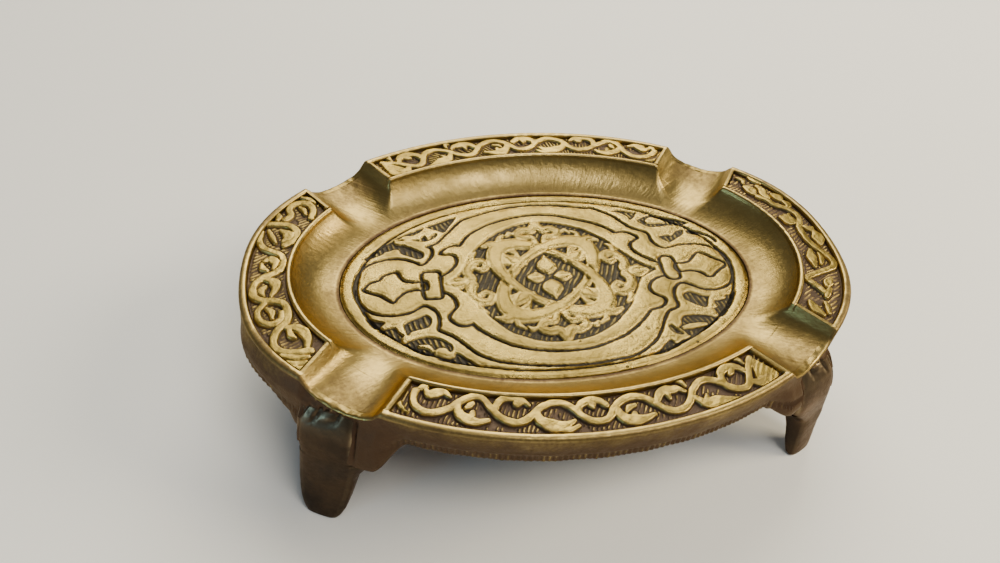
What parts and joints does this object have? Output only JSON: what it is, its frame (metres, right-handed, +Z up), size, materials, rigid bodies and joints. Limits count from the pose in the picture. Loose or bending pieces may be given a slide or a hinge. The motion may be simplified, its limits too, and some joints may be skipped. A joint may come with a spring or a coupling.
{
  "type": "ashtray",
  "caption": "Oval cast brass ashtray on splayed feet, with a chased plaque on the floor of the bowl, vine-scroll strips in the rim and cigarette rests on the diagonals.",
  "frame": {"origin": "middle of the ashtray's bounding box in plan, on the plane that the feet stand on", "axes": "+X along the long side, +Y towards the rear, +Z up; -Y is the side that faces the viewer in the picture"},
  "size_m": [0.098, 0.0706, 0.024],
  "materials": {
    "tray_brass": "cast brass, rubbed bright on the high parts, brown in the hollows",
    "plaque_brass": "chased brass, polished relief on a dark patinated ground",
    "strip_brass_front": "chased brass, polished relief on a dark patinated ground",
    "strip_brass_rear": "chased brass, polished relief on a dark patinated ground",
    "strip_brass_left": "chased brass, polished relief on a dark patinated ground",
    "strip_brass_right": "chased brass, polished relief on a dark patinated ground",
    "leg_brass_front_left": "cast brass, dark brown patina",
    "leg_brass_front_right": "cast brass, dark brown patina",
    "leg_brass_rear_left": "cast brass, dark brown patina",
    "leg_brass_rear_right": "cast brass, dark brown patina"
  },
  "bodies": {
    "root": {"tray_casting": "tray_brass", "floor_medallion": "plaque_brass", "frieze_front": "strip_brass_front", "frieze_rear": "strip_brass_rear", "frieze_left": "strip_brass_left", "frieze_right": "strip_brass_right", "leg_front_left": "leg_brass_front_left", "leg_front_right": "leg_brass_front_right", "leg_rear_left": "leg_brass_rear_left", "leg_rear_right": "leg_brass_rear_right"}
  },
  "joints": []
}
